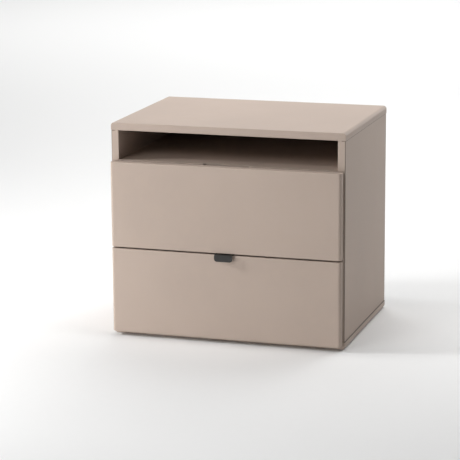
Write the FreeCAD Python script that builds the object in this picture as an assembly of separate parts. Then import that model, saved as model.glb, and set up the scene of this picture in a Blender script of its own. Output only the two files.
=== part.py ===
import FreeCAD, Part
import math
import os

# Side chest: an open niche over two full-width drawers on steel roller slides.
# Millimetres, +Z up. The origin is on the floor, in the middle of the overall box.
# The drawer faces look along -Y.

# Overall sizes; the depth runs from the drawer faces to the back edges
overall_width = 475.0
overall_depth = 355.0
overall_height = 425.0

# Carcass boards
top_thickness = 15.0
bottom_thickness = 15.0
side_thickness = 15.0
shelf_thickness = 15.0
panel_overhang = 1.0
end_rounding = 6.5
arris_radius = 1.0

# Back panel, held in grooves of the carcass
back_thickness = 3.0
back_recess = 9.0
back_groove_depth = 6.0
back_groove_play = 0.1

# Niche and drawer fronts
niche_height = 58.0
shelf_edge_shown = 2.0
front_thickness = 18.0
front_standoff = 2.0
front_side_inset = 3.0
front_side_rounding = 6.0
front_rear_rounding = 3.0
front_reveal = 3.0
front_floor_clearance = 8.0

# Finger notch in the front edge of the shelf, behind the top of the upper front
notch_width = 93.0
notch_depth = 6.5
notch_corner_radius = 4.0
notch_mouth_radius = 1.8

# Tab handle, a bent steel clip over the top edge of the lower front
handle_width = 36.5
handle_drop = 13.5
handle_projection = 8.0
handle_sheet = 1.5
handle_bend_radius = 0.8
handle_corner_radius = 5.5
handle_leaf_clearance = 4.0
handle_leaf_corner_radius = 4.0
handle_screw_pitch = 22.0
handle_screw_margin = 10.0
handle_screw_length = 12.0

# Drawer boxes; the upper box leaves its headroom under the shelf
box_wall = 12.0
box_headroom = 17.0
box_rear_room = 25.0
box_lift = 20.0
box_rim_radius = 1.5
box_bottom_thickness = 5.0
box_bottom_height = 8.0
box_groove_depth = 5.0
box_bottom_play = 0.3
front_screw_length = 24.0
front_screw_width_shares = (0.14, 0.86)
box_joint_height_shares = (0.3, 0.8)

# Roller slides
slide_space = 12.5
rail_steel = 1.2
rail_bend_radius = 0.8
rail_rear_room = 21.0
rail_setback = 2.0
rail_side_clearance = 1.6
drawer_rail_foot = 10.0
running_flange_height = 14.8
running_flange_clearance = 0.7
passing_clearance = 0.5
channel_play = 0.8
stop_lip_height = 4.0
open_roller_spacing = 42.0
roller_radius = 9.0
roller_inset = 12.0
roller_run_clearance = 0.3
roller_end_play = 0.3
cabinet_roller_gap = 1.0
drawer_roller_gap = 0.8
drawer_roller_height = 12.0
axle_radius = 2.5
axle_running_clearance = 0.05
axle_head_radius = 4.5
axle_head_thickness = 0.8
rail_screw_length = 12.0
drawer_rail_screw_length = 10.0
cabinet_rail_screw_shares = (0.25, 0.55, 0.85)
drawer_rail_screw_shares = (0.1, 0.5, 0.85)

# Screws and dowels
screw_radius = 1.75
screw_head_radius = 3.2
screw_head_thickness = 1.0
carcass_dowel_radius = 4.0
carcass_dowel_length = 30.0
dowel_in_face_share = 1 / 3
box_dowel_radius = 3.0
box_dowel_length = 30.0
dowel_relief = 1.0
dowel_depth_shares = (0.16, 0.84)

# Overrun of every cutting body, and the tolerance for finding edges
overrun = 5.0
match_tolerance = 0.001

# Levels and faces that follow from the sizes above
carcass_half = overall_width / 2 - panel_overhang
inner_half = carcass_half - side_thickness
back_y = (overall_depth + handle_projection) / 2
face_y = back_y - overall_depth
front_back_y = face_y + front_thickness
carcass_y = front_back_y + front_standoff
carcass_depth = back_y - carcass_y
back_panel_y = back_y - back_recess - back_thickness
side_top_z = overall_height - top_thickness
shelf_top_z = side_top_z - niche_height
shelf_z = shelf_top_z - shelf_thickness
front_half = carcass_half - front_side_inset
front_stack = shelf_top_z - shelf_edge_shown - front_floor_clearance
front_height = (front_stack - front_reveal) / 2
lower_front_z = front_floor_clearance
upper_front_z = lower_front_z + front_height + front_reveal
box_half = inner_half - slide_space
box_inner_half = box_half - box_wall
box_height = shelf_z - box_headroom - upper_front_z - box_lift
box_back_y = back_panel_y - box_rear_room
lower_box_top_z = lower_front_z + box_lift + box_height
rail_y = carcass_y + rail_setback
rail_length = back_panel_y - rail_rear_room - rail_y
drawer_rail_length = box_back_y - rail_y
handle_leaf_height = lower_front_z + front_height - lower_box_top_z - handle_leaf_clearance

DRAWERS = {"upper": upper_front_z, "lower": lower_front_z}
SIDES = {"left": -1, "right": 1}


def point(x, y, z):
    return FreeCAD.Vector(x, y, z)


def block(x_span, y_span, z_span):
    """Box between two values along each axis, given in either order."""
    spans = [sorted(span) for span in (x_span, y_span, z_span)]
    low = point(*[span[0] for span in spans])
    sizes = [span[1] - span[0] for span in spans]
    return Part.makeBox(*sizes, low)


def rounded_outline(corners, radii):
    """Closed wire through the corners in order, each rounded by its own radius."""
    bends = []
    for index, corner in enumerate(corners):
        behind = (corners[index - 1] - corner).normalize()
        ahead = (corners[(index + 1) % len(corners)] - corner).normalize()
        half_angle = behind.getAngle(ahead) / 2
        reach = radii[index] / math.tan(half_angle)
        depth = radii[index] / math.sin(half_angle) - radii[index]
        inward = (behind + ahead).normalize()
        bends.append((corner + behind * reach, corner + inward * depth, corner + ahead * reach))
    edges = []
    for index, (start, middle, end) in enumerate(bends):
        if radii[index]:
            edges.append(Part.Arc(start, middle, end).toShape())
        following = bends[(index + 1) % len(bends)][0]
        if end.distanceToPoint(following) > match_tolerance:
            edges.append(Part.LineSegment(end, following).toShape())
    return Part.Wire(edges)


def prism(corners, radii, sweep):
    """Solid swept from a rounded outline."""
    solid = Part.Face(rounded_outline(corners, radii)).extrude(sweep)
    if solid.Volume < 0:
        solid.reverse()
    return solid


def edges_on(shape, axis, *values):
    """Edges that lie wholly at one of the given values of an axis, x, y or z."""
    found = []
    for edge in shape.Edges:
        low = getattr(edge.BoundBox, axis.upper() + "Min")
        high = getattr(edge.BoundBox, axis.upper() + "Max")
        for value in values:
            if abs(low - value) < match_tolerance and abs(high - value) < match_tolerance:
                found.append(edge)
    return found


def along(edges, axis):
    """Those of the edges that run straight along one axis."""
    direction = {"x": point(1, 0, 0), "y": point(0, 1, 0), "z": point(0, 0, 1)}[axis]
    straight = [edge for edge in edges if isinstance(edge.Curve, Part.Line)]
    return [edge for edge in straight if abs(edge.Curve.Direction.dot(direction)) > 1 - match_tolerance]


def drilled(shape, mouths, direction, radius, depth):
    """Shape with a blind hole from each mouth along a direction."""
    for mouth in mouths:
        start = mouth - direction * overrun
        shape = shape.cut(Part.makeCylinder(radius, depth + overrun, start, direction))
    return shape


def dowel(middle, direction, radius, length):
    """Wooden dowel centred on a point."""
    return Part.makeCylinder(radius, length, middle - direction * (length / 2), direction)


def screw(seat, direction, length):
    """Pan-head screw: the head stands on the seat, the shank runs along the direction."""
    crown = seat - direction * screw_head_thickness
    head = Part.makeCylinder(screw_head_radius, screw_head_thickness, crown, direction)
    return head.fuse(Part.makeCylinder(screw_radius, length, seat, direction)).removeSplitter()


def save(name, *solids):
    shape = solids[0] if len(solids) == 1 else Part.makeCompound(list(solids))
    shape.exportStep("parts/" + name + ".step")


# Carcass

def dowel_rows():
    """Places along the depth where the carcass dowels stand."""
    return [carcass_y + share * carcass_depth for share in dowel_depth_shares]


def side_middle(side):
    return side * (inner_half + side_thickness / 2)


def upright_dowel_mouths(z):
    """Points on the joint plane between the sides and the top or bottom panel."""
    return [point(side_middle(side), y, z) for side in SIDES.values() for y in dowel_rows()]


def shelf_dowel_mouths(side):
    """Points on the joint plane between one side and the shelf."""
    return [point(side * inner_half, y, shelf_z + shelf_thickness / 2) for y in dowel_rows()]


def dowel_in_face():
    """Depth of a dowel in the face of a board; the rest is in the end of its neighbour."""
    return carcass_dowel_length * dowel_in_face_share


def back_groove():
    """Room for the back panel and its play, cut out of every board around it."""
    half = inner_half + back_groove_depth
    y_span = (back_panel_y - back_groove_play, back_panel_y + back_thickness + back_groove_play)
    z_span = (bottom_thickness - back_groove_depth, side_top_z + back_groove_depth)
    return block((-half, half), y_span, z_span)


def end_panel(z_flat, z_round):
    """Top or bottom panel: both ends rounded over at the z_round face, square at the other."""
    half = overall_width / 2
    corners = [point(x, carcass_y, z) for x, z in
               ((-half, z_flat), (half, z_flat), (half, z_round), (-half, z_round))]
    radii = [arris_radius, arris_radius, end_rounding, end_rounding]
    panel = prism(corners, radii, point(0, carcass_depth, 0))
    panel = panel.makeFillet(arris_radius, edges_on(panel, "y", carcass_y, back_y))
    inward = point(0, 0, 1 if z_round > z_flat else -1)
    depth = dowel_in_face() + dowel_relief
    panel = drilled(panel, upright_dowel_mouths(z_flat), inward, carcass_dowel_radius, depth)
    return panel.cut(back_groove())


def side_panel(side):
    """Upright side board with eased arrises at the front and along the outer joints, drilled inside."""
    outer_x = side * carcass_half
    panel = block((side * inner_half, outer_x), (carcass_y, back_y), (bottom_thickness, side_top_z))
    joint_arrises = along(edges_on(panel, "x", outer_x), "y")
    panel = panel.makeFillet(arris_radius, edges_on(panel, "y", carcass_y) + joint_arrises)
    depth = carcass_dowel_length - dowel_in_face() + dowel_relief
    up = point(0, 0, 1)
    panel = drilled(panel, upright_dowel_mouths(bottom_thickness), up, carcass_dowel_radius, depth)
    panel = drilled(panel, upright_dowel_mouths(side_top_z), -up, carcass_dowel_radius, depth)
    outward = point(side, 0, 0)
    shelf_depth = dowel_in_face() + dowel_relief
    panel = drilled(panel, shelf_dowel_mouths(side), outward, carcass_dowel_radius, shelf_depth)
    for front_z in DRAWERS.values():
        seats = cabinet_rail_screw_seats(side, front_z)
        panel = drilled(panel, seats, outward, screw_radius, rail_screw_length)
    return panel.cut(back_groove())


def niche_shelf():
    """Fixed shelf between the niche and the drawers, notched in its front edge for the fingers."""
    notch_half = notch_width / 2
    notch_y = carcass_y + notch_depth
    rear_y = back_panel_y - back_groove_play
    plan = ((-inner_half, carcass_y), (-notch_half, carcass_y), (-notch_half, notch_y),
            (notch_half, notch_y), (notch_half, carcass_y), (inner_half, carcass_y),
            (inner_half, rear_y), (-inner_half, rear_y))
    corners = [point(x, y, shelf_z) for x, y in plan]
    notch_radii = [notch_mouth_radius, notch_corner_radius, notch_corner_radius, notch_mouth_radius]
    shelf = prism(corners, [0] + notch_radii + [0, 0, 0], point(0, 0, shelf_thickness))
    rims = edges_on(shelf, "z", shelf_z, shelf_top_z)
    front_rims = [edge for edge in rims if edge.BoundBox.YMax < notch_y + match_tolerance]
    shelf = shelf.makeFillet(arris_radius, front_rims)
    depth = carcass_dowel_length - dowel_in_face() + dowel_relief
    for side in SIDES.values():
        shelf = drilled(shelf, shelf_dowel_mouths(side), point(-side, 0, 0), carcass_dowel_radius, depth)
    return shelf


def back_panel():
    """Thin back board, standing in the grooves with play all round."""
    half = inner_half + back_groove_depth - back_groove_play
    z_low = bottom_thickness - back_groove_depth + back_groove_play
    z_high = side_top_z + back_groove_depth - back_groove_play
    return block((-half, half), (back_panel_y, back_panel_y + back_thickness), (z_low, z_high))


def carcass_dowels():
    """Every dowel between the carcass boards."""
    off_centre = carcass_dowel_length / 2 - dowel_in_face()
    up = point(0, 0, 1)
    joints = [(mouth, up) for mouth in upright_dowel_mouths(bottom_thickness)]
    joints += [(mouth, -up) for mouth in upright_dowel_mouths(side_top_z)]
    for side in SIDES.values():
        joints += [(mouth, point(-side, 0, 0)) for mouth in shelf_dowel_mouths(side)]
    return [dowel(mouth + away * off_centre, away, carcass_dowel_radius, carcass_dowel_length)
            for mouth, away in joints]


# Roller slides; u is measured outward from a box side, z from the lower edge of the box

def box_z(front_z):
    return front_z + box_lift


def slide_point(side, front_z, u, y, z):
    return point(side * (box_half + u), y, box_z(front_z) + z)


def channel_floor():
    """Height of the track that the drawer roller runs on."""
    return drawer_roller_height - roller_radius - roller_run_clearance


def channel_roof():
    return drawer_roller_height + roller_radius + channel_play


def channel_tip():
    """Outward place of the free edges of the cabinet rail's flanges."""
    return rail_steel + rail_side_clearance


def cabinet_roller_place():
    """Outward span of the cabinet roller, its height and its place along the depth."""
    head_u = rail_steel + screw_head_thickness + passing_clearance
    u_start = head_u + axle_head_thickness + roller_end_play
    u_end = slide_space - rail_steel - cabinet_roller_gap
    height = running_flange_height - roller_run_clearance - roller_radius
    return u_start, u_end, height, rail_y + roller_inset


def roller_width():
    u_start, u_end, _, _ = cabinet_roller_place()
    return u_end - u_start


def drawer_roller_place():
    u_start = rail_steel + drawer_roller_gap
    return u_start, u_start + roller_width(), drawer_roller_height, box_back_y - roller_inset


def track_front():
    """Front of the stop lip, where the drawer roller arrives at full travel."""
    rise = roller_radius - (stop_lip_height - roller_run_clearance)
    touch = math.sqrt(roller_radius ** 2 - rise ** 2)
    open_roller_y = cabinet_roller_place()[3] + open_roller_spacing
    return open_roller_y - touch - roller_run_clearance - rail_steel


def cabinet_rail_screw_seats(side, front_z):
    """Where the rail's screws enter the side panel."""
    height = (channel_floor() + channel_roof()) / 2
    rows = [rail_y + share * rail_length for share in cabinet_rail_screw_shares]
    return [slide_point(side, front_z, slide_space, y, height) for y in rows]


def drawer_rail_screw_seats(side, front_z):
    """Where the rail's screws enter the box side, below the groove for the bottom."""
    rows = [rail_y + share * drawer_rail_length for share in drawer_rail_screw_shares]
    return [slide_point(side, front_z, 0, y, box_bottom_height / 2) for y in rows]


def cabinet_rail(side, front_z):
    """Channel rail on the cabinet side: track below, guard flange above, stop lip at the track's front."""
    low = channel_floor() - rail_steel
    high = channel_roof() + rail_steel
    web = slide_space - rail_steel
    tip = channel_tip()
    section = ((tip, low), (slide_space, low), (slide_space, high), (tip, high),
               (tip, channel_roof()), (web, channel_roof()), (web, channel_floor()), (tip, channel_floor()))
    outer = rail_bend_radius + rail_steel
    radii = (0, outer, outer, 0, 0, rail_bend_radius, rail_bend_radius, 0)
    corners = [slide_point(side, front_z, u, rail_y, z) for u, z in section]
    rail = prism(corners, radii, point(0, rail_length, 0))

    def piece(u_span, y_span, z_span):
        near = slide_point(side, front_z, u_span[0], y_span[0], z_span[0])
        far = slide_point(side, front_z, u_span[1], y_span[1], z_span[1])
        return block((near.x, far.x), (near.y, far.y), (near.z, far.z))

    front_span = (rail_y - overrun, track_front())
    track_span = (low - overrun, channel_floor() + rail_bend_radius)
    rail = rail.cut(piece((tip - overrun, web), front_span, track_span))
    lip_span = (track_front(), track_front() + rail_steel)
    lip_top = channel_floor() + stop_lip_height - roller_run_clearance
    rail = rail.fuse(piece((tip, web - rail_bend_radius), lip_span, (low, lip_top))).removeSplitter()
    outward = point(side, 0, 0)
    web_faces = [seat - outward * rail_steel for seat in cabinet_rail_screw_seats(side, front_z)]
    rail = drilled(rail, web_faces, outward, screw_radius, rail_steel + overrun)
    _, _, height, y = cabinet_roller_place()
    axle_spot = slide_point(side, front_z, web, y, height)
    return drilled(rail, [axle_spot], outward, axle_radius, rail_steel + overrun)


def drawer_rail(side, front_z):
    """Z-shaped rail on the box side: foot under the box, web, and the flange that runs on the roller."""
    flange = running_flange_height
    reach = slide_space - rail_steel - screw_head_thickness - running_flange_clearance
    section = ((-drawer_rail_foot, -rail_steel), (rail_steel, -rail_steel), (rail_steel, flange),
               (reach, flange), (reach, flange + rail_steel), (0, flange + rail_steel),
               (0, 0), (-drawer_rail_foot, 0))
    outer = rail_bend_radius + rail_steel
    radii = (0, outer, rail_bend_radius, 0, 0, outer, 0, 0)
    corners = [slide_point(side, front_z, u, rail_y, z) for u, z in section]
    rail = prism(corners, radii, point(0, drawer_rail_length, 0))
    _, _, height, y = drawer_roller_place()
    roller_front = y - roller_radius - channel_play
    near = slide_point(side, front_z, rail_steel, roller_front, flange - rail_bend_radius)
    far = slide_point(side, front_z, reach + overrun, box_back_y + overrun, flange + rail_steel + overrun)
    rail = rail.cut(block((near.x, far.x), (near.y, far.y), (near.z, far.z)))
    outward = point(side, 0, 0)
    seats = drawer_rail_screw_seats(side, front_z)
    rail = drilled(rail, seats, outward, screw_radius, rail_steel + overrun)
    axle_spot = slide_point(side, front_z, 0, y, height)
    return drilled(rail, [axle_spot], outward, axle_radius, rail_steel + overrun)


def roller(side, front_z, place):
    """Nylon roller, bored to run on its axle."""
    u_start, _, height, y = place
    base = slide_point(side, front_z, u_start, y, height)
    outward = point(side, 0, 0)
    wheel = Part.makeCylinder(roller_radius, roller_width(), base, outward)
    return drilled(wheel, [base], outward, axle_radius + axle_running_clearance, roller_width() + overrun)


def axle(side, front_z, place, web_u, head_u):
    """Riveted axle from the back of a rail's web through its roller to a retaining head."""
    _, _, height, y = place
    toward_head = side if head_u > web_u else -side
    direction = point(toward_head, 0, 0)
    shank = Part.makeCylinder(axle_radius, abs(head_u - web_u),
                              slide_point(side, front_z, web_u, y, height), direction)
    head = Part.makeCylinder(axle_head_radius, axle_head_thickness,
                             slide_point(side, front_z, head_u, y, height), direction)
    return shank.fuse(head).removeSplitter()


def cabinet_axle(side, front_z):
    place = cabinet_roller_place()
    return axle(side, front_z, place, slide_space, place[0] - roller_end_play)


def drawer_axle(side, front_z):
    place = drawer_roller_place()
    return axle(side, front_z, place, 0, place[1] + roller_end_play)


def cabinet_rail_screws():
    """Screws of all cabinet rails, their heads on the inner faces of the webs."""
    screws = []
    for side in SIDES.values():
        outward = point(side, 0, 0)
        for front_z in DRAWERS.values():
            for seat in cabinet_rail_screw_seats(side, front_z):
                screws.append(screw(seat - outward * rail_steel, outward, rail_steel + rail_screw_length))
    return screws


def drawer_rail_screws(front_z):
    screws = []
    for side in SIDES.values():
        inward = point(-side, 0, 0)
        for seat in drawer_rail_screw_seats(side, front_z):
            screws.append(screw(seat - inward * rail_steel, inward, rail_steel + drawer_rail_screw_length))
    return screws


# Drawers

def drawer_front(front_z):
    """Overlay front with rounded side edges and eased top and bottom arrises."""
    plan = ((-front_half, face_y), (front_half, face_y),
            (front_half, front_back_y), (-front_half, front_back_y))
    corners = [point(x, y, front_z) for x, y in plan]
    radii = [front_side_rounding, front_side_rounding, front_rear_rounding, front_rear_rounding]
    front = prism(corners, radii, point(0, 0, front_height))
    front = front.makeFillet(arris_radius, edges_on(front, "z", front_z, front_z + front_height))
    return drilled(front, front_screw_seats(front_z, front_back_y), point(0, -1, 0), screw_radius,
                   front_screw_length - box_wall)


def front_screw_seats(front_z, y):
    """Places of the screws between box front and drawer front, at one depth."""
    spots = []
    for share in front_screw_width_shares:
        x = -box_inner_half + share * (box_inner_half + box_inner_half)
        spots += [point(x, y, z) for z in box_joint_rows(front_z)]
    return spots


def box_joint_rows(front_z):
    return [box_z(front_z) + share * box_height for share in box_joint_height_shares]


def handle_clip():
    """Bent strip of the tab handle before its corners are rounded: tab, flange and rear leaf."""
    under = lower_front_z + front_height
    top = under + handle_sheet
    tab_y = face_y - handle_projection
    leaf_y = front_back_y + handle_sheet
    tab_z = top - handle_drop
    leaf_z = under - handle_leaf_height
    outer = handle_bend_radius + handle_sheet
    section = ((tab_y, tab_z), (tab_y, top), (leaf_y, top), (leaf_y, leaf_z),
               (front_back_y, leaf_z), (front_back_y, under), (tab_y + handle_sheet, under),
               (tab_y + handle_sheet, tab_z))
    radii = (0, outer, outer, 0, 0, handle_bend_radius, handle_bend_radius, 0)
    corners = [point(-handle_width / 2, y, z) for y, z in section]
    return prism(corners, radii, point(handle_width, 0, 0))


def handle_screw_seats():
    z = lower_box_top_z + handle_leaf_clearance + handle_screw_margin
    return [point(side * handle_screw_pitch / 2, front_back_y, z) for side in SIDES.values()]


def tab_handle():
    clip = handle_clip()
    under = lower_front_z + front_height
    tab_corners = along(edges_on(clip, "z", under + handle_sheet - handle_drop), "y")
    clip = clip.makeFillet(handle_corner_radius, tab_corners)
    leaf_corners = along(edges_on(clip, "z", under - handle_leaf_height), "y")
    clip = clip.makeFillet(handle_leaf_corner_radius, leaf_corners)
    return drilled(clip, handle_screw_seats(), point(0, 1, 0), screw_radius, handle_sheet + overrun)


def lower_front():
    """Lower front, drilled behind for the handle's screws."""
    depth = handle_screw_length - handle_sheet
    front = drawer_front(lower_front_z)
    return drilled(front, handle_screw_seats(), point(0, -1, 0), screw_radius, depth)


def handle_screws():
    into = point(0, -1, 0)
    return [screw(seat - into * handle_sheet, into, handle_screw_length) for seat in handle_screw_seats()]


def bottom_room(front_z):
    """Room for the box bottom in the grooves of the four box walls."""
    half = box_inner_half + box_groove_depth
    z = box_z(front_z) + box_bottom_height
    y_span = (front_back_y + box_wall - box_groove_depth, box_back_y - box_wall + box_groove_depth)
    return block((-half, half), y_span, (z, z + box_bottom_thickness))


def box_bottom(front_z):
    half = box_inner_half + box_groove_depth - box_bottom_play
    z = box_z(front_z) + box_bottom_height
    near_y = front_back_y + box_wall - box_groove_depth + box_bottom_play
    far_y = box_back_y - box_wall + box_groove_depth - box_bottom_play
    return block((-half, half), (near_y, far_y), (z, z + box_bottom_thickness))


def box_corner_mouths(side, front_z):
    """Points on the outer face of a box side where its corner dowels end."""
    rows = (front_back_y + box_wall / 2, box_back_y - box_wall / 2)
    return [point(side * box_half, y, z) for y in rows for z in box_joint_rows(front_z)]


def box_side(side, front_z):
    """Box side with a rounded rim, a groove for the bottom, and holes for dowels and rail screws."""
    z = box_z(front_z)
    wall = block((side * box_inner_half, side * box_half), (front_back_y, box_back_y), (z, z + box_height))
    wall = wall.makeFillet(box_rim_radius, along(edges_on(wall, "z", z + box_height), "y"))
    inward = point(-side, 0, 0)
    wall = drilled(wall, box_corner_mouths(side, front_z), inward, box_dowel_radius, box_wall + overrun)
    seats = drawer_rail_screw_seats(side, front_z)
    wall = drilled(wall, seats, inward, screw_radius, drawer_rail_screw_length)
    return wall.cut(bottom_room(front_z))


def box_end(front_z, y_span):
    """Box front or back between the sides, grooved for the bottom and bored for the dowels."""
    z = box_z(front_z)
    wall = block((-box_inner_half, box_inner_half), y_span, (z, z + box_height))
    wall = wall.makeFillet(box_rim_radius, along(edges_on(wall, "z", z + box_height), "x"))
    for side in SIDES.values():
        mouths = box_corner_mouths(side, front_z)
        wall = drilled(wall, mouths, point(-side, 0, 0), box_dowel_radius, box_dowel_length + dowel_relief)
    return wall.cut(bottom_room(front_z))


def box_front(front_z):
    wall = box_end(front_z, (front_back_y, front_back_y + box_wall))
    seats = front_screw_seats(front_z, front_back_y)
    return drilled(wall, seats, point(0, 1, 0), screw_radius, box_wall + overrun)


def box_back(front_z):
    return box_end(front_z, (box_back_y - box_wall, box_back_y))


def box_dowels(front_z):
    pegs = []
    for side in SIDES.values():
        inward = point(-side, 0, 0)
        for mouth in box_corner_mouths(side, front_z):
            middle = mouth + inward * (box_dowel_length / 2)
            pegs.append(dowel(middle, inward, box_dowel_radius, box_dowel_length))
    return pegs


def front_screws(front_z):
    seats = front_screw_seats(front_z, front_back_y + box_wall)
    return [screw(seat, point(0, -1, 0), front_screw_length) for seat in seats]


def save_carcass():
    save("top_panel", end_panel(side_top_z, overall_height))
    save("bottom_panel", end_panel(bottom_thickness, 0))
    for name, side in SIDES.items():
        save(name + "_side_panel", side_panel(side))
    save("niche_shelf", niche_shelf())
    save("back_panel", back_panel())
    save("carcass_dowels", *carcass_dowels())
    save("cabinet_rail_screws", *cabinet_rail_screws())
    axles = [cabinet_axle(side, front_z) for side in SIDES.values() for front_z in DRAWERS.values()]
    save("cabinet_roller_axles", *axles)


def save_slides(level, front_z):
    for name, side in SIDES.items():
        prefix = level + "_" + name
        save(prefix + "_cabinet_rail", cabinet_rail(side, front_z))
        save(prefix + "_cabinet_roller", roller(side, front_z, cabinet_roller_place()))
        save(prefix + "_drawer_rail", drawer_rail(side, front_z))
        save(prefix + "_drawer_roller", roller(side, front_z, drawer_roller_place()))
    save(level + "_drawer_rail_screws", *drawer_rail_screws(front_z))
    save(level + "_drawer_roller_axles", *[drawer_axle(side, front_z) for side in SIDES.values()])


def save_box(level, front_z):
    for name, side in SIDES.items():
        save(level + "_box_" + name + "_side", box_side(side, front_z))
    save(level + "_box_front", box_front(front_z))
    save(level + "_box_back", box_back(front_z))
    save(level + "_box_bottom", box_bottom(front_z))
    save(level + "_box_dowels", *box_dowels(front_z))
    save(level + "_front_screws", *front_screws(front_z))


os.makedirs("parts", exist_ok=True)
save_carcass()
for level, front_z in DRAWERS.items():
    save_slides(level, front_z)
    save_box(level, front_z)
save("upper_drawer_front", drawer_front(upper_front_z))
save("lower_drawer_front", lower_front())
save("tab_handle", tab_handle())
save("handle_screws", *handle_screws())
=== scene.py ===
import math
import bmesh
import bpy
from mathutils import Matrix, Vector


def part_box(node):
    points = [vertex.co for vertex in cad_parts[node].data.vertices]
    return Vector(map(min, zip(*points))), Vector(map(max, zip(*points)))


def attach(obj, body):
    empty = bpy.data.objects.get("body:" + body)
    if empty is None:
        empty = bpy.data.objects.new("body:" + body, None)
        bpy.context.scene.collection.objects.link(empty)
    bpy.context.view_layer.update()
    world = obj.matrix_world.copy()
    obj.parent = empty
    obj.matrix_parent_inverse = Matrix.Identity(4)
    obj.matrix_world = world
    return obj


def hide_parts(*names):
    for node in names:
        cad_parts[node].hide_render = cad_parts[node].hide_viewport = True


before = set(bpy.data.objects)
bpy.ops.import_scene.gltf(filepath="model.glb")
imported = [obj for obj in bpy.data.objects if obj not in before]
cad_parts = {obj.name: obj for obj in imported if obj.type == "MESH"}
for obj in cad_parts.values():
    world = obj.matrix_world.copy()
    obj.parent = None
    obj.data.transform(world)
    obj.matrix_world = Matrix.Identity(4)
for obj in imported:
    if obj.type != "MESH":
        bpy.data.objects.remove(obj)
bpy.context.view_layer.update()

# Colours are linear red, green and blue.
GREIGE = (0.464, 0.377, 0.322)
GREIGE_CLOUD = (0.472, 0.380, 0.320)
# HARDBOARD's darkness is partly a guessed colour and partly painted shade, so that the niche stays
# dark.
HARDBOARD = (0.031, 0.0238, 0.0193)
BOX_FOIL = (0.60, 0.545, 0.475)
BOX_FOIL_DRIFT = (0.60, 0.53, 0.45)
SLIDE_PAINT = (0.66, 0.645, 0.60)
GREASE_GRIME = (0.36, 0.34, 0.30)
BARE_STEEL = (0.42, 0.42, 0.43)
NYLON = (0.60, 0.60, 0.565)
HANDLE_PAINT = (0.0172, 0.0159, 0.0142)
HANDLE_RUBBED = (0.10, 0.098, 0.095)
ZINC = (0.58, 0.59, 0.61)
ZINC_STRAW = (0.56, 0.53, 0.46)
BEECH = (0.52, 0.33, 0.18)
FLOOR_WHITE = (0.86, 0.86, 0.856)
SKY_WHITE = (1.0, 1.0, 1.0)


class Reading:
    """An output of a node, with arithmetic that adds Math nodes."""

    def __init__(self, nodes, socket):
        self.nodes = nodes
        self.socket = socket

    def of(self, name):
        """Another output of the same node."""
        return Reading(self.nodes, self.socket.node.outputs[name])

    def maths(self, operation, first, second):
        return self.nodes.node("ShaderNodeMath", {"operation": operation}, {0: first, 1: second})

    def __add__(self, other):
        return self.maths("ADD", self, other)

    def __radd__(self, other):
        return self.maths("ADD", other, self)

    def __sub__(self, other):
        return self.maths("SUBTRACT", self, other)

    def __rsub__(self, other):
        return self.maths("SUBTRACT", other, self)

    def __mul__(self, other):
        return self.maths("MULTIPLY", self, other)

    def __rmul__(self, other):
        return self.maths("MULTIPLY", other, self)

    def least(self, other):
        return self.maths("MINIMUM", self, other)

    def most(self, other):
        return self.maths("MAXIMUM", self, other)

    def step(self, start, end):
        """0 at start and before, 1 at end and after, smooth between."""
        return self.nodes.node("ShaderNodeMapRange", {"interpolation_type": "SMOOTHSTEP"},
                               {"Value": self, "From Min": start, "From Max": end})


class Nodes:
    """The nodes of a material or of the sky, all made by one method."""

    def __init__(self, owner):
        owner.use_nodes = True
        self.tree = owner.node_tree

    def put(self, socket, value):
        """Links a reading to a socket, or sets the socket's own value."""
        if isinstance(value, Reading):
            self.tree.links.new(value.socket, socket)
        elif socket.type == "RGBA":
            socket.default_value = (*value, 1.0)
        else:
            socket.default_value = value

    def node(self, kind, settings=None, sockets=None, output=0):
        """A new node with its settings and then its sockets, given as one of its outputs."""
        made = self.tree.nodes.new(kind)
        for name, value in (settings or {}).items():
            setattr(made, name, value)
        for name, value in (sockets or {}).items():
            self.put(made.inputs[name], value)
        return Reading(self, made.outputs[output])


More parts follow.
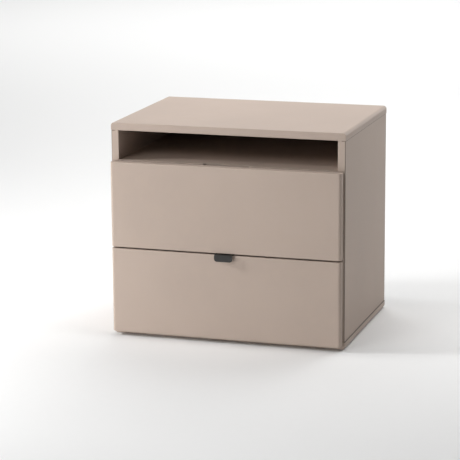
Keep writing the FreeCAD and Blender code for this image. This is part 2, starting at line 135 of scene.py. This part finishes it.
class Finish(Nodes):
    """A material with one shader; what is the same all over is set on the shader's own sockets."""

    def __init__(self, name, **uniform):
        self.material = bpy.data.materials.new(name)
        super().__init__(self.material)
        self.shader = self.tree.nodes["Principled BSDF"]
        for socket, value in uniform.items():
            self.shader.inputs[socket.replace("_", " ")].default_value = value
        self.place = self.node("ShaderNodeTexCoord").of("Object")

    def moved(self, offset=(0, 0, 0), scale=(1, 1, 1), turn=(0, 0, 0)):
        """The place on the piece, shifted, stretched and turned."""
        return self.node("ShaderNodeMapping", sockets={
            "Vector": self.place, "Location": offset, "Rotation": turn, "Scale": scale})

    def stretched(self, where, by):
        return self.node("ShaderNodeVectorMath", {"operation": "MULTIPLY"}, {0: where, 1: by})

    def noise(self, where, scale, detail, rough, distortion=0.0):
        return self.node("ShaderNodeTexNoise", sockets={
            "Vector": where, "Scale": scale, "Detail": detail, "Roughness": rough,
            "Distortion": distortion})

    def blend(self, amount, first, second):
        """The first colour where amount is 0, the second where it is 1."""
        return self.node("ShaderNodeMix", {"data_type": "RGBA"},
                         {0: amount, 6: first, 7: second}, output=2)

    def axes(self):
        return self.node("ShaderNodeSeparateXYZ", sockets={"Vector": self.place})

    def rim(self, node, width):
        """1 along the edges of a node's box, 0 further than width away from them."""
        low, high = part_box(node)
        axes = self.axes()
        gaps = []
        for axis, letter in enumerate("XYZ"):
            spot = axes.of(letter)
            gaps.append((spot - low[axis]).least(high[axis] - spot))
        first, second, third = gaps
        middle = first.least(second).most(first.most(second).least(third))
        return 1.0 - middle.step(0.0, width)

    def rubbed(self, node, width, where, scale, start, end):
        """Patchy wear along the edges of a node's box, width wide."""
        patches = self.noise(where, scale, detail=2.0, rough=0.6)
        return self.rim(node, width) * patches.step(start, end)

    def finish(self, colour, roughness, heights=(), metallic=None):
        """Feeds the shader; heights are pairs of a height reading and its depth in metres."""
        self.put(self.shader.inputs["Base Color"], colour)
        self.put(self.shader.inputs["Roughness"], roughness)
        if metallic is not None:
            self.put(self.shader.inputs["Metallic"], metallic)
        normal = None
        for height, depth in heights:
            sockets = {"Height": height, "Distance": depth, "Strength": 1.0}
            if normal is not None:
                sockets["Normal"] = normal
            normal = self.node("ShaderNodeBump", sockets=sockets)
        if normal is not None:
            self.put(self.shader.inputs["Normal"], normal)
        return self.material


def tint(colour, share):
    """A colour made darker or paler by a share."""
    return tuple(part * share for part in colour)


# Shift of the pattern from one board to the next, so that no two boards look alike.
GREIGE_SHIFT = (1.7, 0.9, 2.3)
BOX_FOIL_SHIFT = (0.31, 0.17, 0.23)
# Width of rubbed edges in metres: on the greige boards, where the paler arrises are partly wear
# and partly painted highlight, and on everything else.
BOARD_RUB_AND_HIGHLIGHT, EDGE_RUB = 0.0016, 0.0012
# Painted shade in the joints round the outer face of a side panel, in metres: its width, and the
# span of X where it starts. The bottom panel's ledge outside the side panels gets the same painted
# shade, past spans of Z and X.
JOINT_SHADE_WIDTH = 0.0018
JOINT_SHADE_INNER, JOINT_SHADE_OUTER = 0.228, 0.230
LEDGE_START, LEDGE_END = 0.0138, 0.0146
LEDGE_INNER, LEDGE_OUTER = 0.2350, 0.2354
JOINT_SHADE_DARK, JOINT_SHADE_SHARE = tint(GREIGE, 0.12), 0.8


def greige_board(node, number):
    """Satin greige foil on a board: drift of tone, pigment fleck, soft peel, and arrises made
    paler partly by rubbing and partly by painted highlight.

    A thin dark line of painted shade runs round the outer face of an upright side, standing for
    the shade in its joints.
    """
    f = Finish("greige_" + node, Specular_IOR_Level=0.10)
    grain = f.moved(offset=tuple(part * number for part in GREIGE_SHIFT))
    drift = f.noise(grain, scale=5.5, detail=2.0, rough=0.45)
    cloud = f.noise(grain, scale=38.0, detail=3.0, rough=0.55)
    fleck = f.noise(grain, scale=1500.0, detail=1.0, rough=0.5)
    peel = f.noise(grain, scale=520.0, detail=1.0, rough=0.4)
    wave = f.noise(grain, scale=11.0, detail=1.0, rough=0.4)
    rubbed = f.rubbed(node, BOARD_RUB_AND_HIGHLIGHT, grain, scale=70.0, start=0.38, end=0.62)
    tone = f.blend(drift.step(0.3, 0.7), tint(GREIGE, 0.972), tint(GREIGE, 1.024))
    tone = f.blend(cloud.step(0.35, 0.75) * 0.5, tone, GREIGE_CLOUD)
    tone = f.blend(fleck.step(0.55, 0.8) * 0.16, tone, tint(GREIGE, 0.78))
    if node.endswith("_side_panel"):
        outward = -1.0 if node.startswith("left") else 1.0
        outer = (f.axes().of("X") * outward).step(JOINT_SHADE_INNER, JOINT_SHADE_OUTER)
        # Painted shade: a thin dark line round the outer face, for the shade in the joints.
        tone = f.blend(f.rim(node, JOINT_SHADE_WIDTH) * outer * JOINT_SHADE_SHARE, tone, JOINT_SHADE_DARK)
    else:
        # Paler arrises: partly rubbed wear, partly painted highlight along the edges.
        tone = f.blend(rubbed * 0.35, tone, tint(GREIGE, 1.22))
    if node == "bottom_panel":
        across, upwards = (f.axes().of(letter) for letter in "XZ")
        ledge = upwards.step(LEDGE_START, LEDGE_END)
        outer = across.most(across * -1.0).step(LEDGE_INNER, LEDGE_OUTER)
        # Painted shade on the bottom panel's ledge outside the side panels.
        tone = f.blend(ledge * outer * JOINT_SHADE_SHARE, tone, JOINT_SHADE_DARK)
    return f.finish(tone, roughness=0.47 + drift * 0.05 + cloud * 0.06 - rubbed * 0.05,
                    heights=((wave, 0.0004), (peel, 0.000014), (fleck, 0.000004)))


def back_board(node):
    """Hardboard with a matt dark brown face, partly a guessed colour and partly painted shade that
    keeps the niche dark: felted fibres and small darker shives.
    """
    f = Finish("hardboard_" + node, Specular_IOR_Level=0.25)
    fibre = f.noise(f.moved(scale=(1.0, 1.0, 0.35), turn=(0.0, 0.35, 0.0)),
                    scale=900.0, detail=4.0, rough=0.65, distortion=0.6)
    shive = f.noise(f.moved(scale=(0.3, 1.0, 1.0), turn=(0.0, -0.5, 0.0)),
                    scale=420.0, detail=2.0, rough=0.6)
    felt = f.noise(f.place, scale=24.0, detail=4.0, rough=0.6)
    tone = f.blend(felt.step(0.3, 0.7), tint(HARDBOARD, 0.86), tint(HARDBOARD, 1.16))
    tone = f.blend(fibre.step(0.45, 0.75) * 0.5, tone, tint(HARDBOARD, 1.5))
    tone = f.blend(shive.step(0.62, 0.72) * 0.5, tone, tint(HARDBOARD, 0.5))
    return f.finish(tone, roughness=0.68 + felt * 0.14, heights=((fibre, 0.00006),))


# Turns that lay the linen print on a board that is thin along X, Y or Z, and the print's threads.
LINEN_TURNS = ((0.0, math.pi / 2, 0.0), (math.pi / 2, 0.0, 0.0), (0.0, 0.0, 0.0))
WARP_STRETCH, WEFT_STRETCH = (1.0, 0.06, 1.0), (0.06, 1.0, 1.0)


def box_board(node, number):
    """Pale foil with a faint linen print over board; edges rub paler."""
    f = Finish("box_foil_" + node, Specular_IOR_Level=0.35)
    low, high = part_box(node)
    spans = [high[axis] - low[axis] for axis in range(3)]
    flat = f.moved(offset=tuple(part * number for part in BOX_FOIL_SHIFT),
                   turn=LINEN_TURNS[spans.index(min(spans))])
    warp, weft = (f.noise(f.stretched(flat, by), scale=850.0, detail=2.0, rough=0.6)
                  for by in (WARP_STRETCH, WEFT_STRETCH))
    linen = warp * 0.5 + weft * 0.5
    drift = f.noise(flat, scale=9.0, detail=3.0, rough=0.5)
    rubbed = f.rubbed(node, EDGE_RUB, flat, scale=90.0, start=0.4, end=0.62)
    tone = f.blend(linen.step(0.36, 0.64), tint(BOX_FOIL, 0.90), tint(BOX_FOIL, 1.06))
    tone = f.blend(drift.step(0.35, 0.75) * 0.3, tone, BOX_FOIL_DRIFT)
    tone = f.blend(rubbed * 0.5, tone, tint(BOX_FOIL, 1.2))
    return f.finish(tone, roughness=0.48 + linen * 0.12, heights=((linen, 0.00003),))


def slide_paint(node):
    """Off-white powder coat on folded sheet, worn bare at edges, with streaks of grease grime."""
    f = Finish("slide_paint_" + node, Specular_IOR_Level=0.5)
    grit = f.noise(f.place, scale=1400.0, detail=2.0, rough=0.5)
    drift = f.noise(f.place, scale=30.0, detail=3.0, rough=0.55)
    streak = f.noise(f.moved(scale=(1.0, 0.05, 1.0)), scale=420.0, detail=3.0, rough=0.6)
    worn = f.rubbed(node, EDGE_RUB, f.place, scale=160.0, start=0.42, end=0.6)
    tone = f.blend(drift.step(0.3, 0.75), tint(SLIDE_PAINT, 0.93), tint(SLIDE_PAINT, 1.04))
    tone = f.blend(streak.step(0.56, 0.72) * 0.30, tone, GREASE_GRIME)
    tone = f.blend(worn * 0.6, tone, BARE_STEEL)
    return f.finish(tone, roughness=0.34 + grit * 0.12 + streak * 0.08,
                    heights=((grit, 0.00003),), metallic=worn * 0.8)


# Turned rings of a roller, in radians per metre of its radius, and the radii between which its
# rolling track begins, in metres.
RING_RATE = 9000.0
TRACK_START, TRACK_END = 0.0082, 0.0089


def nylon(node):
    """Natural nylon: milky, with turned rings and a grey rolling track."""
    f = Finish("nylon_" + node, Specular_IOR_Level=0.5,
               Subsurface_Weight=0.25, Subsurface_Scale=0.002)
    low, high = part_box(node)
    from_middle = f.moved(offset=tuple(-(low[axis] + high[axis]) / 2 for axis in range(3)))
    reach = f.node("ShaderNodeVectorMath", {"operation": "LENGTH"},
                   {0: f.stretched(from_middle, (0, 1, 1))}, output=1)
    rings = f.node("ShaderNodeMath", {"operation": "SINE"}, {0: reach * RING_RATE})
    milk = f.noise(f.place, scale=260.0, detail=3.0, rough=0.6)
    track = reach.step(TRACK_START, TRACK_END)
    tone = f.blend(milk.step(0.3, 0.75), tint(NYLON, 0.92), tint(NYLON, 1.05))
    tone = f.blend(track * milk * 0.7, tone, tint(NYLON, 0.62))
    return f.finish(tone, roughness=0.30 + milk * 0.16 + track * 0.08,
                    heights=((rings, 0.000006), (milk, 0.00002)))


def black_paint(node):
    """Matt black powder coat with a fine grit and slightly rubbed edges."""
    f = Finish("black_paint_" + node, Specular_IOR_Level=0.4)
    grit = f.noise(f.place, scale=1700.0, detail=2.0, rough=0.6)
    drift = f.noise(f.place, scale=120.0, detail=3.0, rough=0.55)
    rubbed = f.rubbed(node, EDGE_RUB, f.place, scale=240.0, start=0.42, end=0.62)
    tone = f.blend(drift.step(0.3, 0.75), tint(HANDLE_PAINT, 0.82), tint(HANDLE_PAINT, 1.25))
    tone = f.blend(grit.step(0.5, 0.8) * 0.4, tone, tint(HANDLE_PAINT, 1.9))
    tone = f.blend(rubbed * 0.45, tone, HANDLE_RUBBED)
    return f.finish(tone, roughness=0.46 + grit * 0.16 - rubbed * 0.1, heights=((grit, 0.00004),))


def zinc(node):
    """Bright zinc plate with a faint straw tint, tool marks and dull patches."""
    f = Finish("zinc_" + node, Metallic=1.0)
    patch = f.noise(f.place, scale=380.0, detail=3.0, rough=0.6)
    marks = f.noise(f.moved(scale=(0.2, 1.0, 1.0)), scale=2600.0, detail=2.0, rough=0.6)
    tone = f.blend(patch.step(0.3, 0.7), ZINC, ZINC_STRAW)
    tone = f.blend(patch.step(0.62, 0.8) * 0.5, tone, tint(ZINC, 0.6))
    return f.finish(tone, roughness=0.22 + patch * 0.2 + marks * 0.08, heights=((marks, 0.00001),))


def beech(node):
    """Raw beech dowel: long grain with short brown ray flecks."""
    f = Finish("beech_" + node, Specular_IOR_Level=0.3)
    grain = f.noise(f.moved(scale=(0.12, 1.0, 1.0)),
                    scale=700.0, detail=4.0, rough=0.6, distortion=0.4)
    ray = f.noise(f.moved(scale=(0.4, 1.0, 1.0)), scale=1500.0, detail=1.0, rough=0.5)
    tone = f.blend(grain.step(0.3, 0.7), tint(BEECH, 0.8), tint(BEECH, 1.15))
    tone = f.blend(ray.step(0.66, 0.76) * 0.6, tone, tint(BEECH, 0.45))
    return f.finish(tone, roughness=0.58 + grain * 0.14, heights=((grain, 0.00006),))


def dress(node, material):
    """Gives a CAD node its finish."""
    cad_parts[node].data.materials[0] = material


slots = {}
for node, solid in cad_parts.items():
    slots.setdefault(solid.data.materials[0].name, []).append(node)
for slot, maker in (("greige_panel", greige_board), ("box_board", box_board)):
    for number, node in enumerate(sorted(slots[slot])):
        dress(node, maker(node, number))
for slot, maker in (("back_board", back_board), ("slide_steel", slide_paint),
                    ("handle_black", black_paint), ("dowel_beech", beech)):
    for node in sorted(slots[slot]):
        dress(node, maker(node))


# Screw, rivet and roller sizes in metres; profiles are pairs of radius and depth below the crown.
RECESS_REACH, RECESS_DEPTH, RECESS_DRAFT = 0.0015, 0.0009, 1.18
RECESS_CELLS = 3
HEAD_SIDES, RIVET_SIDES, ROLLER_SIDES = 24, 32, 64
SHANK_RADIUS, TIP_RADIUS, TIP_LENGTH = 0.00175, 0.0003, 0.0026
HEAD_CROWN = (0.0025, 0.00014)
HEAD_RINGS = ((0.0029, 0.00030), (0.00312, 0.00055), (0.0032, 0.00080), (0.0032, 0.0010),
              (SHANK_RADIUS, 0.0010))
AXLE_RADIUS = 0.0025
RIVET_HEAD = ((0.0, 0.00030), (0.0011, 0.00028), (0.0016, 0.00004), (0.0021, 0.0),
              (0.0034, 0.00004), (0.0041, 0.00022), (0.0045, 0.00050), (0.0045, 0.00080),
              (AXLE_RADIUS, 0.00080))
ROLLER_FACE = ((0.00255, 0.0), (0.0044, 0.0), (0.0047, 0.00012), (0.0050, 0.0006),
               (0.0070, 0.0006), (0.0073, 0.00012), (0.0076, 0.0), (0.0081, 0.0),
               (0.0086, 0.00014), (0.00889, 0.00045), (0.0090, 0.0009))
# How near points are merged in a turned shape and in a CAD mesh, and how near to the end of a
# fastener a point belongs to its rim, in metres; edges sharper than the angle aren't smoothed.
TURNED_MERGE, CAD_MERGE, RIM_NEAR = 1e-7, 1e-6, 1e-5
SHARP_ANGLE = math.radians(40)


def picked(geom, kind):
    return [part for part in geom if isinstance(part, kind)]


def ring(shape, loop, radius, depth):
    """Grows a round loop of edges to another radius and depth, and gives the new loop."""
    grown = bmesh.ops.extrude_edge_only(shape, edges=loop)["geom"]
    verts = picked(grown, bmesh.types.BMVert)
    share = radius / verts[0].co.xy.length
    bmesh.ops.scale(shape, vec=(share, share, 1.0), verts=verts)
    bmesh.ops.translate(shape, vec=(0.0, 0.0, -depth - verts[0].co.z), verts=verts)
    return [edge for edge in picked(grown, bmesh.types.BMEdge) if edge.is_boundary]


def cross_screw(length):
    """Pan-head screw with a cross recess, its crown at the origin and its shank downwards."""
    shape = bmesh.new()
    bmesh.ops.create_grid(shape, x_segments=RECESS_CELLS, y_segments=RECESS_CELLS,
                          size=RECESS_REACH, matrix=Matrix.Translation((0.0, 0.0, -RECESS_DEPTH)))
    middles = {face: face.calc_center_median() for face in shape.faces}
    corners = [face for face, spot in middles.items()
               if min(abs(spot.x), abs(spot.y)) > RECESS_REACH / RECESS_CELLS]
    bmesh.ops.delete(shape, geom=corners, context="FACES")
    floor_rim = [edge for edge in shape.edges if edge.is_boundary]
    walls = bmesh.ops.extrude_edge_only(shape, edges=floor_rim)["geom"]
    mouth = picked(walls, bmesh.types.BMVert)
    bmesh.ops.scale(shape, vec=(RECESS_DRAFT, RECESS_DRAFT, 1.0), verts=mouth)
    bmesh.ops.translate(shape, vec=(0.0, 0.0, RECESS_DEPTH), verts=mouth)
    mouth_rim = [edge for edge in picked(walls, bmesh.types.BMEdge) if edge.is_boundary]
    radius, depth = HEAD_CROWN
    crown = bmesh.ops.create_circle(shape, segments=HEAD_SIDES, radius=radius,
                                    matrix=Matrix.Translation((0.0, 0.0, -depth)))["verts"]
    loop = [edge for edge in shape.edges if edge.verts[0] in crown and edge.verts[1] in crown]
    bmesh.ops.bridge_loops(shape, edges=mouth_rim + loop)
    for radius, depth in HEAD_RINGS:
        loop = ring(shape, loop, radius, depth)
    loop = ring(shape, loop, SHANK_RADIUS, length - TIP_LENGTH)
    loop = ring(shape, loop, TIP_RADIUS, length)
    bmesh.ops.holes_fill(shape, edges=loop, sides=HEAD_SIDES)
    bmesh.ops.recalc_face_normals(shape, faces=shape.faces)
    return shape


def turned(profile, sides, closed):
    """Shape turned about the upright axis from pairs of radius and depth below the crown."""
    shape = bmesh.new()
    verts = [shape.verts.new((radius, 0.0, -depth)) for radius, depth in profile]
    pairs = list(zip(verts, verts[1:]))
    if closed:
        pairs.append((verts[-1], verts[0]))
    edges = [shape.edges.new(pair) for pair in pairs]
    bmesh.ops.spin(shape, geom=verts + edges, cent=(0.0, 0.0, 0.0), axis=(0.0, 0.0, 1.0),
                   dvec=(0.0, 0.0, 0.0), angle=2 * math.pi, steps=sides, use_merge=True)
    bmesh.ops.remove_doubles(shape, verts=shape.verts, dist=TURNED_MERGE)
    bmesh.ops.recalc_face_normals(shape, faces=shape.faces)
    return shape


def rivet(length):
    """Hollow-crowned rivet whose shank is the axle of a roller."""
    return turned(RIVET_HEAD + ((AXLE_RADIUS, length), (0.0, length)), RIVET_SIDES, closed=False)


def grooved_roller(length):
    """Roller with rounded rims and a ring-shaped recess in both faces."""
    far_face = tuple((radius, length - depth) for radius, depth in reversed(ROLLER_FACE))
    return turned(ROLLER_FACE + far_face, ROLLER_SIDES, closed=True)


def lines_through(node, lengthwise):
    """Crown, direction into the work and length of every loose fastener in a CAD node.

    lengthwise picks the axis from the three spans: max for a screw, min for a flat roller.
    """
    shape = bmesh.new()
    shape.from_mesh(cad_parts[node].data)
    bmesh.ops.remove_doubles(shape, verts=shape.verts, dist=CAD_MERGE)
    found = []
    left = set(shape.verts)
    while left:
        reached = [left.pop()]
        for vert in reached:
            near = {edge.other_vert(vert) for edge in vert.link_edges} & left
            left -= near
            reached.extend(near)
        low, high = (Vector([pick(vert.co[axis] for vert in reached) for axis in range(3)])
                     for pick in (min, max))
        axis = lengthwise(range(3), key=lambda number: high[number] - low[number])
        middle = (low + high) / 2
        widths = []
        for end in (low[axis], high[axis]):
            rim = [vert.co - middle for vert in reached if abs(vert.co[axis] - end) < RIM_NEAR]
            widths.append(max(abs(spot[number]) for spot in rim
                              for number in range(3) if number != axis))
        into = Vector((0.0, 0.0, 0.0))
        into[axis] = 1.0 if widths[0] > widths[1] else -1.0
        length = high[axis] - low[axis]
        found.append((tuple(middle - into * (length / 2)), tuple(into), length))
    shape.free()
    return sorted(found)


def in_scene(name, data):
    """A new object in the scene, at the origin."""
    made = bpy.data.objects.new(name, data)
    bpy.context.scene.collection.objects.link(made)
    return made


def as_object(name, shape, material):
    """A bmesh as an object with one material."""
    mesh = bpy.data.meshes.new(name)
    shape.to_mesh(mesh)
    shape.free()
    mesh.materials.append(material)
    return in_scene(name, mesh)


def fastened(node, body, maker, material, lengthwise=max):
    """One piece of detailed fasteners in the place of a CAD node."""
    group = bmesh.new()
    for crown, into, length in lines_through(node, lengthwise):
        single = maker(length)
        mesh = bpy.data.meshes.new(node + "_single")
        single.to_mesh(mesh)
        single.free()
        before = len(group.verts)
        group.from_mesh(mesh)
        bpy.data.meshes.remove(mesh)
        group.verts.ensure_lookup_table()
        turn = (-Vector(into)).to_track_quat("Z", "Y").to_matrix().to_4x4()
        bmesh.ops.transform(group, matrix=Matrix.Translation(crown) @ turn,
                            verts=group.verts[before:])
    for face in group.faces:
        face.smooth = True
    made = as_object(node + "_detailed", group, material)
    made.data.set_sharp_from_angle(angle=SHARP_ANGLE)
    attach(made, body)
    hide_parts(node)


for node, body, maker in (("cabinet_rail_screws", "cabinet", cross_screw),
                          ("cabinet_roller_axles", "cabinet", rivet),
                          ("handle_screws", "lower_drawer", cross_screw),
                          ("upper_front_screws", "upper_drawer", cross_screw),
                          ("upper_drawer_rail_screws", "upper_drawer", cross_screw),
                          ("upper_drawer_roller_axles", "upper_drawer", rivet),
                          ("lower_front_screws", "lower_drawer", cross_screw),
                          ("lower_drawer_rail_screws", "lower_drawer", cross_screw),
                          ("lower_drawer_roller_axles", "lower_drawer", rivet)):
    fastened(node, body, maker, zinc(node))
for node in sorted(slots["roller_nylon"]):
    fastened(node, node, grooved_roller, nylon(node), lengthwise=min)


# Half the floor's width, and how far it lies under the chest, in metres.
FLOOR_REACH, FLOOR_DROP = 20.0, 0.0004


def floor():
    """A wide pale floor."""
    f = Finish("floor_paper", Specular_IOR_Level=0.1)
    tooth = f.noise(f.place, scale=60.0, detail=3.0, rough=0.5)
    paper = f.finish(f.blend(tooth, tint(FLOOR_WHITE, 0.985), FLOOR_WHITE), roughness=0.9)
    shape = bmesh.new()
    bmesh.ops.create_grid(shape, x_segments=1, y_segments=1, size=FLOOR_REACH)
    bmesh.ops.translate(shape, verts=shape.verts, vec=(0.0, 0.0, -FLOOR_DROP))
    as_object("studio_floor", shape, paper)


# Lamps: place, the point that they face, width and height in metres, and watts.
CHEST_MIDDLE = (0.0, -0.10, 0.25)
TOP_MIDDLE = (0.0, 0.1, 0.42)
LAMPS = {
    "key_left": ((-1.80, -0.62, 1.05), CHEST_MIDDLE, (0.35, 0.35), 24.0),
    "key_low": ((-0.90, -0.90, 0.15), (0.0, -0.17, 0.20), (0.4, 0.3), 2.6),
    "fill_left": ((-1.2, -2.6, 0.12), CHEST_MIDDLE, (1.0, 0.2), 12.5),
    "fill_high": ((-1.0, -2.2, 1.7), CHEST_MIDDLE, (1.0, 0.6), 13.0),
    "top_front": ((0.0, -0.10, 2.0), (0.0, -0.10, 0.0), (1.6, 0.2), 11.4),
    "top_back": ((0.0, 0.90, 1.7), TOP_MIDDLE, (1.2, 1.0), 8.0),
    "right_high": ((0.9, 0.9, 1.6), TOP_MIDDLE, (0.8, 0.8), 5.4),
    "right_graze": ((0.9, 2.6, 0.7), (0.2, 0.1, 0.25), (0.8, 0.8), 10.0),
    "floor_back": ((0.0, 1.6, 2.4), (0.0, 3.35, 0.86), (4.0, 1.0), 29.7),
    "floor_far": ((0.0, 5.0, 3.0), (0.0, 5.0, 0.0), (8.0, 4.0), 228.0),
}


def softbox(name, place, aim, size, watts):
    """A rectangular lamp that faces a point."""
    lamp = bpy.data.lights.new(name, "AREA")
    lamp.shape = "RECTANGLE"
    lamp.size, lamp.size_y = size
    lamp.energy = watts
    made = in_scene(name, lamp)
    made.location = place
    made.rotation_euler = (Vector(aim) - Vector(place)).to_track_quat("-Z", "Y").to_euler()


# Strength of the sky at the horizon and overhead.
SKY_LOW, SKY_HIGH = 0.26, 0.0


def sky():
    """White studio light that is brighter at the horizon than overhead."""
    world = bpy.data.worlds.new("studio_light")
    bpy.context.scene.world = world
    light = Nodes(world)
    way = light.node("ShaderNodeTexCoord").of("Generated")
    rise = light.node("ShaderNodeSeparateXYZ", sockets={"Vector": way}).of("Z")
    strength = light.node("ShaderNodeMapRange", sockets={
        "Value": rise, "From Min": 0.0, "From Max": 1.0, "To Min": SKY_LOW, "To Max": SKY_HIGH})
    back = light.tree.nodes["Background"]
    light.put(back.inputs["Color"], SKY_WHITE)
    light.put(back.inputs["Strength"], strength)


# The camera: turn, dip and roll in radians, place in metres, focal length in picture widths, and
# the sensor's width in millimetres.
CAMERA_TURN, CAMERA_DIP, CAMERA_ROLL = 0.30609, 0.22305, -0.00726
CAMERA_PLACE = (1.17426, -3.85028, 1.10322)
FOCAL_PIXELS, PICTURE_PIXELS = 2044.88, 460.0
CAMERA_REACH = FOCAL_PIXELS / PICTURE_PIXELS
SENSOR_WIDTH = 36.0


def camera():
    """The photograph's viewpoint."""
    data = bpy.data.cameras.new("camera")
    data.sensor_width = SENSOR_WIDTH
    data.lens = CAMERA_REACH * SENSOR_WIDTH
    ahead = Vector((-math.sin(CAMERA_TURN) * math.cos(CAMERA_DIP),
                    math.cos(CAMERA_TURN) * math.cos(CAMERA_DIP), -math.sin(CAMERA_DIP)))
    right = Vector((math.cos(CAMERA_TURN), math.sin(CAMERA_TURN), 0.0))
    up = right.cross(ahead)
    level = math.cos(CAMERA_ROLL) * right + math.sin(CAMERA_ROLL) * up
    above = math.cos(CAMERA_ROLL) * up - math.sin(CAMERA_ROLL) * right
    facing = Matrix((level, above, -ahead)).transposed().to_4x4()
    made = in_scene("camera", data)
    made.matrix_world = Matrix.Translation(CAMERA_PLACE) @ facing
    bpy.context.scene.camera = made


floor()
sky()
for name, (place, aim, size, watts) in LAMPS.items():
    softbox(name, place, aim, size, watts)
camera()
bpy.context.scene.view_settings.view_transform = "Standard"
